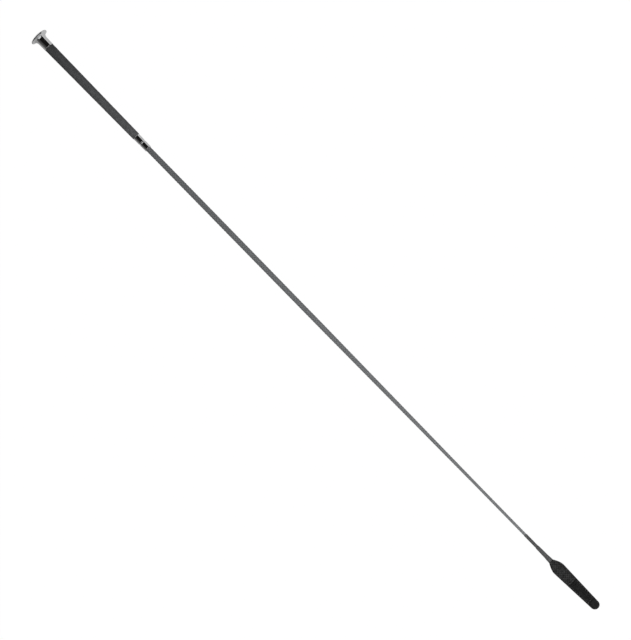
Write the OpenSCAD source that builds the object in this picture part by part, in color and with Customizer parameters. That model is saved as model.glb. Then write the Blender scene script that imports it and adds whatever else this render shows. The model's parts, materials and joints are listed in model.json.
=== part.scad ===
// Dressage whip: chromed mushroom cap, tapered grip, ferrule, braided shaft,
// thread whipping and a flat stitched popper that bends at its root.
//
// Frame: the whip lies along X on the surface Z = 0, with its cap at -X, its popper at +X
// and +Z up. It rests on the cap's rim, the end of the whipping and the popper's nose,
// so the rod leans about half a degree down towards the popper. X = 0 and Y = 0 are the
// middle of the whole whip. Turned pieces are drawn on their own +Z axis, from the top of
// the cap, and are laid down by along_whip(). The popper's pieces are drawn flat, from its
// bend line, and are laid down by along_popper().

/* [Whole whip] */
// Length from the top of the cap to the nose of the popper
overall_length = 1100; // [900:10:1300]
// Gap left between glued or pushed-together pieces inside the handle
glue_gap = 0.05; // [0.02:0.01:0.1]

/* [Cap] */
// Diameter of the cap's rim
rim_d = 26.5; // [24:0.5:32]
// Height of the domed top above its rim
dome_h = 3.0; // [1.5:0.1:6]
// Height of the rim
rim_h = 2.0; // [1.6:0.1:4]
// Rounding of the rim's edges
rim_round = 0.35; // [0.2:0.05:0.6]
// Wall of the domed crown
crown_wall = 0.9; // [0.6:0.05:1.3]
// Thickness of the collar's flange under the crown
flange_h = 1.4; // [1:0.1:1.5]
// Length of the collar's flare from flange to neck
flare_h = 6.4; // [5:0.1:9]
// Diameter of the collar's neck just under the flare
neck_d = 14.6; // [14.2:0.1:17]
// Length of the collar from the crown's rim to its lower lip
collar_h = 18.8; // [16:0.1:24]
// Width of the raised lip at the collar's lower end
lip_h = 1.1; // [0.8:0.1:2]
// How far the lip stands out from the neck
lip_rise = 0.15; // [0.1:0.05:0.3]
// How far the neck stands out from the grip at the lip
neck_step = 0.25; // [0.1:0.05:0.4]
// Thickness of the collar's web, which the stud passes through
web_h = 2.6; // [2:0.1:4]

/* [Cap fixing] */
// Diameter of the stud that holds the crown
stud_d = 4.0; // [3:0.1:4.5]
// Length of the stud below its head
stud_h = 22; // [18:0.5:26]
// Diameter of the stud's head, which is brazed inside the crown
stud_head_d = 11; // [8:0.5:14]
// Length of the plug that the stud screws into
plug_h = 26; // [24:0.5:32]

/* [Grip] */
// Length of the grip
grip_h = 170.0; // [140:0.1:220]
// Diameter of the grip at the cap
grip_top_d = 13.6; // [13:0.1:16]
// Diameter of the grip at the ferrule
grip_low_d = 11.1; // [10.9:0.1:13]
// Wall of the grip
grip_wall = 1.0; // [0.6:0.05:1.1]
// Rounding of the grip's ends
grip_round = 0.4; // [0.2:0.05:0.5]

/* [Ferrule] */
// Length of the ferrule
ferrule_h = 23.4; // [18:0.1:32]
// Diameter of the ferrule at the grip
ferrule_top_d = 10.4; // [10:0.05:10.7]
// Diameter of the ferrule at the shaft
ferrule_low_d = 9.7; // [9.5:0.05:10]
// Wall of the ferrule at its low end
ferrule_wall = 0.5; // [0.3:0.05:0.55]
// Width of the bead at each end of the ferrule
bead_w = 0.9; // [0.6:0.1:1.5]
// How far a bead stands out
bead_rise = 0.14; // [0.05:0.01:0.2]
// Distance from the grip to the middle of the groove
groove_at = 11.8; // [10:0.1:15]
// Width of the groove
groove_w = 2.4; // [1.6:0.1:3]
// Depth of the groove
groove_depth = 0.45; // [0.15:0.05:0.5]
// Length of the lip that closes the ferrule round the shaft
ferrule_lip_h = 1.5; // [1:0.1:3]

/* [Shaft] */
// Diameter of the braided shaft at the ferrule and inside the handle
shaft_butt_d = 7.7; // [7:0.1:8]
// Diameter where the shaft begins to taper faster
shaft_shoulder_d = 7.2; // [6:0.1:7.6]
// Diameter at the end of the fast taper
shaft_neck_d = 4.15; // [3.8:0.05:5.5]
// Diameter at the whipping
shaft_tip_d = 3.9; // [3.4:0.1:4.8]
// Length of the parallel stretch below the ferrule
parallel_h = 150; // [80:5:200]
// Distance from the ferrule to the start of the fast taper
shoulder_at = 345; // [250:5:380]
// Distance from the end of the fast taper to the whipping
neck_before_tip = 94; // [60:1:120]
// Wall of the braid on the glass-fibre core
braid_wall = 0.6; // [0.3:0.05:0.8]

/* [Whipping] */
// Length of the first layer of thread
wrap_h = 23.3; // [15:0.1:35]
// Thickness of the first layer of thread
wrap_t = 0.4; // [0.3:0.05:0.6]
// Length of the second layer of thread, over the popper's tails
whipping_h = 27.4; // [22:0.1:36]
// Thickness of the second layer of thread where it starts
whipping_t = 0.8; // [0.75:0.05:1.1]
// Share of the second layer's length before it swells faster
swell_at = 0.65; // [0.4:0.05:0.8]
// How far the second layer has swollen there
swell_rise = 0.35; // [0.1:0.05:0.5]
// How far the second layer swells above and below, where it lies over the tails
tail_rise = 0.05; // [0.02:0.01:0.2]
// Distance from the end of the whipping back to the end of the rod
rod_short = 1.0; // [0.5:0.1:2]
// Thickness of the popper's tails under the thread
tail_t = 0.5; // [0.3:0.05:0.5]
// Length of the popper's tails under the thread
tail_h = 16; // [10:0.5:20]
// How far the tails wrap round the shaft, in degrees
tail_wrap = 100; // [60:5:140]

/* [Popper] */
// Length from the bend line to the nose
popper_len = 89.7; // [70:0.1:120]
// Greatest width
popper_w = 18.2; // [15:0.1:24]
// Width at the root
root_w = 7.5; // [6.5:0.1:9]
// Length of the shoulders from the root to the greatest width
shoulder_len = 14.2; // [10:0.1:20]
// Distance from the start of the shoulders to the bend line
shoulder_lead = 1.6; // [0:0.1:2]
// Radius of the nose
nose_r = 6.6; // [4:0.1:7]
// Thickness of the middle strip
core_t = 0.8; // [0.5:0.05:1.2]
// Thickness of each woven face
face_t = 1.2; // [0.8:0.05:1.6]
// Thickness of the braided cover at the root
cover_t = 0.4; // [0.3:0.05:0.6]
// Length from the bend line to the end of the cover
cover_len = 39.3; // [30:0.1:50]
// Radius of the cover's rounded end
cover_end_r = 14; // [13:0.5:30]
// How far the middle strip stops inside the faces' outline
core_inset = 1.0; // [0.6:0.1:1.2]
// Clearance between the popper's round root and the whipping
bend_gap = 0.3; // [0.2:0.05:0.6]

/* [Stitching] */
// Diameter of the sewing thread
thread_d = 0.5; // [0.3:0.05:0.7]
// Share of the thread's diameter left where it is pulled through the popper
leg_share = 0.8; // [0.6:0.05:0.9]
// Distance between two needle holes
stitch_pitch = 2.0; // [1.6:0.1:3]
// Distance from the popper's edge to its side rows
edge_inset = 1.8; // [1.4:0.1:2.5]
// Distance from the cover's end to the first stitch of the side rows
row_start = 3.0; // [2:0.1:6]
// Distance from the popper's nose to the row across it
nose_row = 15.4; // [12:0.1:20]
// Distance from the cover's end to the row across it
seam_inset = 1.3; // [1:0.1:2.5]

/* [Hidden] */
$fn = 96;
// Extra length of a cutting shape beyond what it cuts
cut = 1;

// Places along the whip, measured from the top of the cap
rim_end = dome_h + rim_h;
flange_face = rim_end - flange_h;
flange_r = rim_d / 2 - crown_wall - glue_gap;
socket_at = flange_face + web_h;
grip_at = rim_end + collar_h;
ferrule_at = grip_at + grip_h;
ferrule_end = ferrule_at + ferrule_h;
bend_at = overall_length - popper_len;

// The popper's thickness sets how far its round root is cut clear of the whipping
pad_t = core_t / 2 + face_t;
root_t = pad_t + cover_t;
face_start = root_t + 2 * glue_gap;
whip_end = bend_at - root_t - bend_gap;
whipping_at = whip_end - whipping_h;
wrap_at = whipping_at - wrap_h;
shoulder_z = ferrule_end + shoulder_at;
neck_z = wrap_at - neck_before_tip;
rod_end = whip_end - rod_short;

// Crown: the dome's outer radius and the underside that the stud's head is brazed to
dome_r = (pow(rim_d / 2, 2) + pow(dome_h, 2)) / (2 * dome_h);
dome_inner_r = dome_r - crown_wall;
stud_head_at = dome_r - sqrt(pow(dome_inner_r, 2) - pow(stud_head_d / 2, 2));

// Handle pieces, from the outside in
former_top_d = grip_top_d - 2 * grip_wall;
former_low_d = grip_low_d - 2 * grip_wall;
spigot_d = ferrule_low_d - 2 * ferrule_wall;
bore_d = shaft_butt_d;
stud_tip = flange_face - glue_gap + stud_h;
plug_at = socket_at + glue_gap;
rod_at = plug_at + plug_h + 2 * glue_gap;

// End of the whipping: as wide as the popper's root, but flatter above and below
tip_r = shaft_tip_d / 2;
root_r = max(root_w / 2, tip_r + whipping_t + swell_rise + glue_gap);
neck_half = tip_r + whipping_t + tail_rise;

// Lie of the rod: the cap's rim and the end of the whipping both touch the surface
rim_foot = rim_end - rim_round;
lean = atan((rim_d / 2 - neck_half) / (whip_end - rim_foot));
lift = rim_d / 2 * cos(lean) + rim_foot * sin(lean);

// Lie of the popper: the lower edge of its nose touches the surface
bend_z = lift - bend_at * sin(lean);
droop = asin(bend_z / norm([popper_len, pad_t])) - atan(pad_t / popper_len);
middle_x = (bend_at * cos(lean) + popper_len * cos(droop) + pad_t * sin(droop)) / 2;
bend_x = bend_at * cos(lean) - middle_x;

// ---- outlines -------------------------------------------------------------

// Points of an arc about c, from angle a0 to a1
function arc(c, r, a0, a1, n = 8) = [
    for (i = [0 : n]) let (a = a0 + (a1 - a0) * i / n) c + r * [cos(a), sin(a)]
];

// A list of points in the opposite order
function reversed(v) = [for (i = [len(v) - 1 : -1 : 0]) v[i]];

// The shaft's diameter at each station from z0 to the end of the rod, less a wall all round
function shaft_stations(z0, wall) = [
    [shaft_butt_d / 2 - wall, z0],
    [shaft_butt_d / 2 - wall, ferrule_end + parallel_h],
    [shaft_shoulder_d / 2 - wall, shoulder_z],
    [shaft_neck_d / 2 - wall, neck_z],
    [shaft_tip_d / 2 - wall, wrap_at],
    [shaft_tip_d / 2 - wall, rod_end]
];

// Half of the popper's width at a distance from its bend line, before the nose
function half_width(x) = x < shoulder_len
    ? root_w / 2 + (popper_w - root_w) / 2
        * sin(90 * (x + shoulder_lead) / (shoulder_len + shoulder_lead))
    : popper_w / 2 + (nose_r - popper_w / 2) * (x - shoulder_len) / (nose_x - shoulder_len);

nose_x = popper_len - nose_r;
side_tilt = atan((popper_w / 2 - nose_r) / (nose_x - shoulder_len));
cover_edge = cover_len - cover_end_r
    + sqrt(pow(cover_end_r, 2) - pow(half_width(cover_len), 2));

// One side of the popper from x0 to x1, moved in by an inset: curved at the shoulder, then straight
function side(x0, x1, inset, n = 12) = concat(
    x0 < shoulder_len
        ? [for (i = [0 : n]) let (x = x0 + (shoulder_len - x0) * i / n) [x, half_width(x) - inset]]
        : [[x0, half_width(x0) - inset]],
    [[x1, half_width(x1) - inset]]
);

// The round nose, moved in by an inset
function nose(inset) = arc([nose_x, 0], nose_r - inset, 90 - side_tilt, -90 + side_tilt, 24);

// A closed outline from its upper side and its end
function closed(upper, end) = concat(upper, end, reversed([for (p = upper) [p[0], -p[1]]]));

// ---- helpers --------------------------------------------------------------

// Lays a piece drawn on +Z down along the whip
module along_whip() {
    translate([-middle_x, 0, lift]) rotate([0, 90 + lean, 0]) children();
}

// Lays a piece drawn flat, with its bend line on Y, down in the popper's place
module along_popper() {
    translate([bend_x, 0, bend_z]) rotate([0, droop, 0]) children();
}

// A turned piece from its half section
module turned(points) {
    along_whip() rotate_extrude() polygon(points);
}

// A flat layer of the popper between two heights about its middle plane
module layer(points, low, high) {
    along_popper() translate([0, 0, low]) linear_extrude(high - low) polygon(points);
}

// A running stitch along a path: legs through the popper and bars on alternate faces
module running_stitch(path, reach) {
    leg_d = thread_d * leg_share;
    along_popper() {
        for (p = path)
            translate([p[0], p[1], -reach]) cylinder(d = leg_d, h = 2 * reach);
        for (i = [0 : len(path) - 2]) {
            step = path[i + 1] - path[i];
            translate([path[i][0], path[i][1], i % 2 == 0 ? reach : -reach])
                rotate([0, 0, atan2(step[1], step[0])]) rotate([0, 90, 0])
                    translate([0, 0, -thread_d / 2]) cylinder(d = thread_d, h = norm(step) + thread_d);
        }
    }
}

// ---- cap ------------------------------------------------------------------

// Domed crown with a rolled rim, hollow underneath
module cap_crown() {
    r = rim_d / 2;
    edge_a = asin((r - rim_round) / (dome_r - rim_round));
    edge_z = dome_r - (dome_r - rim_round) * cos(edge_a);
    inner_a = asin((r - crown_wall) / dome_inner_r);
    color("silver") turned(concat(
        arc([0, dome_r], dome_r, -90, -90 + edge_a, 16),
        arc([r - rim_round, edge_z], rim_round, -90 + edge_a, 0, 5),
        arc([r - rim_round, rim_end - rim_round], rim_round, 0, 90, 5),
        [[r - crown_wall, rim_end]],
        arc([0, dome_r], dome_inner_r, -90 + inner_a, -90, 16)
    ));
}

// Stud with a flat head, brazed inside the crown
module cap_stud() {
    color("gray") along_whip() translate([0, 0, stud_head_at]) {
        cylinder(d = stud_head_d, h = flange_face - glue_gap - stud_head_at);
        cylinder(d = stud_d, h = stud_tip - stud_head_at);
    }
}

// Flared collar: flange, trumpet-shaped flare, neck and lip, with a socket for the handle
module cap_collar() {
    neck_r = neck_d / 2;
    low_r = grip_top_d / 2 + neck_step;
    lip_r = lip_h / 2;
    lip_a = acos(1 - lip_rise / lip_r);
    flare = [for (i = [0 : 14]) let (a = 90 * i / 14)
        [flange_r - (flange_r - neck_r) * sin(a), rim_end + flare_h * (1 - cos(a))]];
    color("silver") turned(concat(
        [[stud_d / 2 + glue_gap, flange_face], [flange_r, flange_face]],
        flare,
        arc([low_r + lip_rise - lip_r, grip_at - lip_r], lip_r, -lip_a, lip_a, 8),
        [[low_r, grip_at], [former_top_d / 2, grip_at], [former_top_d / 2, socket_at],
            [stud_d / 2 + glue_gap, socket_at]]
    ));
}

// Wooden plug in the end of the handle, drilled for the stud
module cap_plug() {
    color("burlywood") along_whip() translate([0, 0, plug_at]) difference() {
        cylinder(d = bore_d, h = plug_h);
        translate([0, 0, -cut]) cylinder(d = stud_d + 2 * glue_gap, h = stud_tip - plug_at + 2 * cut);
    }
}

// ---- handle ---------------------------------------------------------------

// Tapered former that gives the handle its girth, with a spigot for the ferrule
module handle_former() {
    spigot_end = ferrule_end - ferrule_lip_h - glue_gap;
    color("dimgray") turned([
        [bore_d / 2, socket_at + glue_gap], [former_top_d / 2, socket_at + glue_gap],
        [former_top_d / 2, grip_at], [former_low_d / 2, ferrule_at],
        [spigot_d / 2, ferrule_at], [spigot_d / 2, spigot_end], [bore_d / 2, spigot_end]
    ]);
}

// Grip moulded over the former
module grip_sleeve() {
    top_r = grip_top_d / 2;
    low_r = grip_low_d / 2;
    color([0.3, 0.3, 0.31]) turned(concat(
        [[former_top_d / 2, grip_at]],
        arc([top_r - grip_round, grip_at + grip_round], grip_round, -90, 0, 5),
        arc([low_r - grip_round, ferrule_at - grip_round], grip_round, 0, 90, 5),
        [[former_low_d / 2, ferrule_at]]
    ));
}

// Ferrule with a bead at each end and a groove, closed round the shaft by its lip
module ferrule() {
    top_r = ferrule_top_d / 2;
    low_r = ferrule_low_d / 2;
    lip_r = shaft_butt_d / 2 + glue_gap;
    fall = (low_r - top_r) / ferrule_h;
    groove_r = top_r + fall * groove_at;
    color("silver") turned(concat(
        [[spigot_d / 2, ferrule_at], [top_r, ferrule_at]],
        [for (i = [0 : 6]) let (a = 180 * i / 6)
            [top_r + bead_rise * sin(a), ferrule_at + bead_w * i / 6]],
        [for (i = [0 : 8]) let (a = 180 * i / 8)
            [groove_r - groove_depth * sin(a), ferrule_at + groove_at + groove_w * (i / 8 - 0.5)]],
        [for (i = [0 : 6]) let (a = 180 * i / 6)
            [low_r + bead_rise * sin(a), ferrule_end - bead_w * (1 - i / 6)]],
        [[lip_r, ferrule_end], [lip_r, ferrule_end - ferrule_lip_h],
            [spigot_d / 2, ferrule_end - ferrule_lip_h]]
    ));
}

// ---- shaft ----------------------------------------------------------------

// Tapered glass-fibre rod that runs from the handle to the popper
module core_rod() {
    color("ivory") turned(concat(
        [[0, rod_at]], shaft_stations(rod_at, braid_wall), [[0, rod_end]]
    ));
}

// Braided cover over the whole rod
module shaft_braid() {
    color([0.38, 0.39, 0.4]) turned(concat(
        shaft_stations(rod_at, 0), reversed(shaft_stations(rod_at, braid_wall))
    ));
}

// First layer of thread round the end of the braid
module tip_wrap() {
    color([0.36, 0.36, 0.37]) turned([
        [tip_r, wrap_at], [tip_r + wrap_t, wrap_at],
        [tip_r + wrap_t, whipping_at], [tip_r, whipping_at]
    ]);
}

// Second layer of thread, binding the tails and swelling sideways to the popper's root
module neck_whipping() {
    start_r = tip_r + whipping_t;
    swell_z = whipping_at + whipping_h * swell_at;
    color([0.36, 0.36, 0.37]) difference() {
        turned([
            [tip_r, whipping_at], [start_r, whipping_at], [start_r + swell_rise, swell_z],
            [root_r, whip_end],
            [tip_r + tail_t, whip_end], [tip_r + tail_t, whip_end - tail_h],
            [tip_r, whip_end - tail_h]
        ]);
        for (x = [neck_half, -neck_half - root_r])
            along_whip() translate([x, -root_r - cut, whipping_at - cut])
                cube([root_r, 2 * (root_r + cut), whipping_h + 2 * cut]);
    }
}

// The popper's two tails, bound on top of and under the rod's end
module popper_tails() {
    reach = 2 * (tip_r + tail_t);
    half_w = reach * tan(tail_wrap / 2);
    color([0.16, 0.16, 0.17]) along_whip() translate([0, 0, whip_end - tail_h])
        for (turn = [0, 180]) rotate([0, 0, turn]) intersection() {
            difference() {
                cylinder(r = tip_r + tail_t, h = tail_h);
                translate([0, 0, -cut]) cylinder(r = tip_r, h = tail_h + 2 * cut);
            }
            linear_extrude(tail_h) polygon([[0, 0], [reach, -half_w], [reach, half_w]]);
        }
}

// ---- popper ---------------------------------------------------------------

// Middle strip with the round root that the popper bends about
module popper_core() {
    color([0.12, 0.12, 0.13]) {
        along_popper() rotate([90, 0, 0]) cylinder(r = root_t, h = root_w, center = true);
        layer(closed(side(0, nose_x, core_inset), nose(core_inset)), -core_t / 2, core_t / 2);
    }
}

// Outline of a woven face: tucked inside the cover at the root, full width beyond it
function face_outline() = closed(
    concat(side(face_start, cover_edge, cover_t), side(cover_edge, nose_x, 0)), nose(0)
);

// Woven face on the upper side
module popper_upper_face() {
    color([0.14, 0.14, 0.14]) layer(face_outline(), core_t / 2, pad_t);
}

// Woven face on the lower side
module popper_lower_face() {
    color([0.14, 0.14, 0.14]) layer(face_outline(), -pad_t, -core_t / 2);
}

// Braided cover round the popper's root half, with a rounded end
module popper_base_cover() {
    end_a = asin(half_width(cover_edge) / cover_end_r);
    end = arc([cover_len - cover_end_r, 0], cover_end_r, end_a, -end_a, 16);
    color([0.19, 0.19, 0.2]) difference() {
        layer(closed(side(face_start, cover_edge, 0), end), -root_t, root_t);
        layer(face_outline(), -pad_t, pad_t);
    }
}

// Row of stitches that follows the cover's rounded end
module cover_stitches() {
    r = cover_end_r - seam_inset;
    reach_y = half_width(cover_edge) - edge_inset;
    span = asin(reach_y / r);
    count = 2 * round(r * span * PI / 180 / stitch_pitch);
    path = arc([cover_len - cover_end_r, 0], r, span, -span, count);
    color([0.3, 0.3, 0.31]) running_stitch(path, root_t);
}

// Side rows of stitches, joined by a row across the popper near its nose
module edge_stitches() {
    x0 = cover_len + row_start;
    x1 = popper_len - nose_row;
    w1 = half_width(x1) - edge_inset;
    along = round((x1 - x0) / stitch_pitch);
    across = round(2 * w1 / stitch_pitch);
    row = [for (i = [0 : along]) let (x = x0 + (x1 - x0) * i / along) [x, half_width(x) - edge_inset]];
    end = [for (i = [1 : across - 1]) [x1, w1 - 2 * w1 * i / across]];
    color([0.3, 0.3, 0.31]) running_stitch(closed(row, end), pad_t);
}

cap_crown();
cap_stud();
cap_collar();
cap_plug();
handle_former();
grip_sleeve();
ferrule();
core_rod();
shaft_braid();
tip_wrap();
neck_whipping();
popper_tails();
popper_core();
popper_upper_face();
popper_lower_face();
popper_base_cover();
cover_stitches();
edge_stitches();
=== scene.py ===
"""Dressage whip: the pieces that show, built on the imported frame.

Each sub-assembly is modelled along its own line, with its sizes in millimetres, and is then laid
down where the frame has it. The rod's pieces lie along the whip, and the popper's pieces lie flat
from the line that it bends about.
"""

import json
import logging
import math
from collections.abc import Callable, Mapping, Sequence
from dataclasses import dataclass, field
from enum import Enum

import bpy
import numpy as np
from mathutils import Matrix, Vector


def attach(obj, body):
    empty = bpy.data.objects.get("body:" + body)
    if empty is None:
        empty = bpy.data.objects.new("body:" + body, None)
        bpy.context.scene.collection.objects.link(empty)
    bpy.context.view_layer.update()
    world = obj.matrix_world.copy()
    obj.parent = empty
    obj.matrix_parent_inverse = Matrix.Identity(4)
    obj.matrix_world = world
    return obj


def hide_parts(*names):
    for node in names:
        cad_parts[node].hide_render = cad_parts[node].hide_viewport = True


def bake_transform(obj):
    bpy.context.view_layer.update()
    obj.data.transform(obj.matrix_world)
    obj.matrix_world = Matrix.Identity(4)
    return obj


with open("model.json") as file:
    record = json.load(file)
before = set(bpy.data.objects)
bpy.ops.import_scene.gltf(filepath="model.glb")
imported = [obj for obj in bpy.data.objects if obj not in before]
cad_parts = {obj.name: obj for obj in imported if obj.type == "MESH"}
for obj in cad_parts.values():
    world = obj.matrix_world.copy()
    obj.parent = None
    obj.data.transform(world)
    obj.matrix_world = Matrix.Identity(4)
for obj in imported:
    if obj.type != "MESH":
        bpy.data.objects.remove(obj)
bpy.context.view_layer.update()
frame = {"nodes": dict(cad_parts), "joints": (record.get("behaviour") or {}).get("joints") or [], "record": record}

MM = 0.001
MERGE = 1e-6
TURN = 2 * math.pi
Rgb = tuple[float, float, float]
Stretch = tuple[float, float, float]
Station = tuple[float, float]

log = logging.getLogger("whip")


class Body(Enum):
    """The bodies that the pieces ride on."""

    ROD = "rod"
    POPPER = "popper"


class Rays(Enum):
    """What a light reaches: how brightly surfaces are lit, or what gloss reflects."""

    MATT = "matt"
    GLOSS = "gloss"


class Hand(Enum):
    """Which way a strand of the braid winds."""

    RIGHT = 1
    LEFT = -1


# ---- the lines that the whip is built along ---------------------------------


@dataclass(frozen=True)
class Line:
    """A straight line with its own X along it, Y to its side and Z up from it.

    Args:
        origin: Where the line starts, in metres.
        along: Its direction, of unit length.
    """

    origin: Vector
    along: Vector

    def lay(self, piece: bpy.types.Object) -> bpy.types.Object:
        """Moves a piece's mesh from the bench to its place on the line.

        Args:
            piece: A piece modelled along X from the world's origin.

        Returns:
            The same piece.
        """
        side = Vector((0, 1, 0))
        up = self.along.cross(side)
        turn = Matrix((self.along, side, up)).transposed().to_4x4()
        piece.data.transform(Matrix.Translation(self.origin) @ turn)
        piece.data.update()
        return piece

    def point(self, x: float, y: float = 0, z: float = 0) -> Vector:
        """A point on or beside the line, from millimetres on the bench to metres in the frame."""
        side = Vector((0, 1, 0))
        return self.origin + MM * (x * self.along + y * side + z * self.along.cross(side))


def rod_line() -> Line:
    """The line from the top of the cap to the popper's bend.

    Returns:
        The line, which the cap's rim mount and the hinge both lie on.
    """
    rim_from_top = 4.0
    rim = next(m for m in frame["record"]["mounts"] if m["name"] == "cap_rim")
    start, end = Vector(rim["pos_m"]), Vector(frame["joints"][0]["pos_m"])
    along = (end - start).normalized()
    return Line(start - rim_from_top * MM * along, along)


def popper_line(length: float, half_thickness: float) -> Line:
    """The line from the popper's bend to its nose, whose lower edge touches the floor.

    Args:
        length: From the bend to the nose.
        half_thickness: Half of the popper's thickness.

    Returns:
        The line along the middle of the popper.
    """
    bend = Vector(frame["joints"][0]["pos_m"])
    reach = math.hypot(length, half_thickness)
    droop = math.asin(bend.z / MM / reach) - math.atan2(half_thickness, length)
    return Line(bend, Vector((math.cos(droop), 0, -math.sin(droop))))


# ---- the modelling bench ----------------------------------------------------


class Bench:
    """Starts pieces from primitives, shapes them in edit mode and finishes them."""

    @staticmethod
    def clear() -> None:
        """Leaves edit mode and deselects everything."""
        active = bpy.context.view_layer.objects.active
        if active and active.mode != "OBJECT":
            bpy.ops.object.mode_set(mode="OBJECT")
        bpy.ops.object.select_all(action="DESELECT")

    @staticmethod
    def take(piece: bpy.types.Object) -> None:
        """Makes one piece the only one selected.

        Args:
            piece: The piece to select.
        """
        Bench.clear()
        piece.select_set(True)
        bpy.context.view_layer.objects.active = piece

    @staticmethod
    def started(name: str) -> bpy.types.Object:
        """Names the primitive that was just added, and applies its place to its mesh.

        Args:
            name: The piece's name.

        Returns:
            The new piece.
        """
        piece = bpy.context.active_object
        piece.name = piece.data.name = name
        bpy.ops.object.transform_apply(location=True, rotation=True, scale=True)
        return piece

    @staticmethod
    def edit(piece: bpy.types.Object) -> None:
        """Opens a piece in edit mode with all of it selected.

        Args:
            piece: The piece to open.
        """
        Bench.take(piece)
        bpy.ops.object.mode_set(mode="EDIT")
        bpy.ops.mesh.select_all(action="SELECT")

    @staticmethod
    def close(piece: bpy.types.Object, fill: bool = True) -> None:
        """Merges a mesh's doubles and points its faces outwards.

        Args:
            piece: The piece to finish.
            fill: Whether its open ends are filled first.
        """
        Bench.edit(piece)
        bpy.ops.mesh.remove_doubles(threshold=MERGE)
        if fill:
            bpy.ops.mesh.fill_holes(sides=0)
            bpy.ops.mesh.select_all(action="SELECT")
        bpy.ops.mesh.normals_make_consistent(inside=False)
        bpy.ops.object.mode_set(mode="OBJECT")

    @staticmethod
    def smooth(piece: bpy.types.Object, degrees: float = 35) -> None:
        """Shades a piece smooth, with creases where its faces meet more sharply than an angle.

        Args:
            piece: The piece to shade.
            degrees: The angle.
        """
        Bench.take(piece)
        bpy.ops.object.shade_smooth_by_angle(angle=math.radians(degrees))

    @staticmethod
    def modifier(piece: bpy.types.Object, kind: str, **settings: object) -> None:
        """Adds one modifier to a piece and applies it.

        Args:
            piece: The piece to change.
            kind: The modifier's type.
            settings: Its settings by name.
        """
        Bench.take(piece)
        made = piece.modifiers.new(kind.lower(), kind)
        for key, value in settings.items():
            setattr(made, key, value)
        bpy.ops.object.modifier_apply(modifier=made.name)

    @staticmethod
    def turned(name: str, stations: Sequence[Station], steps: int = 96) -> bpy.types.Object:
        """A turned piece: its half section is drawn point by point and spun round X.

        Args:
            name: The piece's name.
            stations: The half section as (distance along, radius) pairs, in millimetres.
            steps: How many faces go round the piece.

        Returns:
            A closed, smooth-shaded piece.
        """
        Bench.clear()
        start_x, start_r = stations[0]
        bpy.ops.mesh.primitive_plane_add(size=MM, location=(start_x * MM, 0, start_r * MM))
        piece = Bench.started(name)
        Bench.edit(piece)
        bpy.ops.mesh.merge(type="CENTER")
        for (x0, r0), (x1, r1) in zip(stations, stations[1:]):
            step = ((x1 - x0) * MM, 0, (r1 - r0) * MM)
            bpy.ops.mesh.extrude_vertices_move(TRANSFORM_OT_translate={"value": step})
        bpy.ops.mesh.select_all(action="SELECT")
        bpy.ops.mesh.spin(steps=steps, angle=TURN, center=(0, 0, 0), axis=(1, 0, 0))
        Bench.close(piece)
        Bench.smooth(piece)
        return piece

    @staticmethod
    def wound(name: str, start: float, length: float, radius: float, pitch: float,
              thickness: float) -> bpy.types.Object:
        """Close turns of thread round X: a round section that is screwed along.

        Args:
            name: The piece's name.
            start: Where the first turn starts.
            length: How far the turns run.
            radius: The radius of the thread's own middle line.
            pitch: The distance between two turns, which is the thread's width.
            thickness: The thread's thickness.

        Returns:
            A closed helix of thread.
        """
        sides, steps, squeeze = 8, 40, 1.04
        Bench.clear()
        turns = round(length / pitch) - 1
        pitch = length / (turns + 1)
        middle = ((start + pitch / 2) * MM, 0, radius * MM)
        bpy.ops.mesh.primitive_circle_add(
            vertices=sides, radius=pitch / 2 * MM, rotation=(math.pi / 2, 0, 0), location=middle)
        piece = Bench.started(name)
        Bench.edit(piece)
        bpy.ops.transform.resize(value=(squeeze, 1, thickness / pitch), center_override=middle)
        bpy.ops.object.mode_set(mode="OBJECT")
        Bench.modifier(piece, "SCREW", axis="X", angle=TURN, screw_offset=pitch * MM,
                       iterations=turns, steps=steps, render_steps=steps)
        Bench.close(piece)
        Bench.smooth(piece, degrees=60)
        return piece

    @staticmethod
    def points(piece: bpy.types.Object) -> np.ndarray:
        """A mesh's points as rows of x, y and z, in millimetres.

        Args:
            piece: The piece to measure.

        Returns:
            One row for each point.
        """
        flat = np.empty(3 * len(piece.data.vertices))
        piece.data.vertices.foreach_get("co", flat)
        return flat.reshape(-1, 3) / MM

    @staticmethod
    def move(piece: bpy.types.Object, points: np.ndarray) -> None:
        """Moves every point of a mesh.

        Args:
            piece: The piece to change.
            points: Its new points as rows of x, y and z, in millimetres.
        """
        piece.data.vertices.foreach_set("co", (points * MM).ravel())
        piece.data.update()

    @staticmethod
    def rest(piece: bpy.types.Object) -> None:
        """Presses what would sink into the floor flat on to it.

        Args:
            piece: A piece that is already in its place.
        """
        points = Bench.points(piece)
        if points[:, 2].min() < 0:
            points[:, 2] = np.maximum(points[:, 2], 0)
            Bench.move(piece, points)

    @staticmethod
    def grid(name: str, along: int, across: int) -> bpy.types.Object:
        """A flat grid from -1 to 1 each way, to be shaped into a strand or a panel.

        Args:
            name: The piece's name.
            along: How many faces it has along X.
            across: How many it has across.

        Returns:
            The grid.
        """
        Bench.clear()
        bpy.ops.mesh.primitive_grid_add(x_subdivisions=along, y_subdivisions=across, size=2)
        return Bench.started(name)

    @staticmethod
    def copy(piece: bpy.types.Object, move: Matrix) -> bpy.types.Object:
        """A copy of a piece with a mesh of its own, moved to its place.

        Args:
            piece: The piece to copy.
            move: Where the copy goes, from where the first one is.

        Returns:
            The copy.
        """
        twin = piece.copy()
        twin.data = piece.data.copy()
        twin.data.transform(move)
        bpy.context.scene.collection.objects.link(twin)
        return twin

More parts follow.
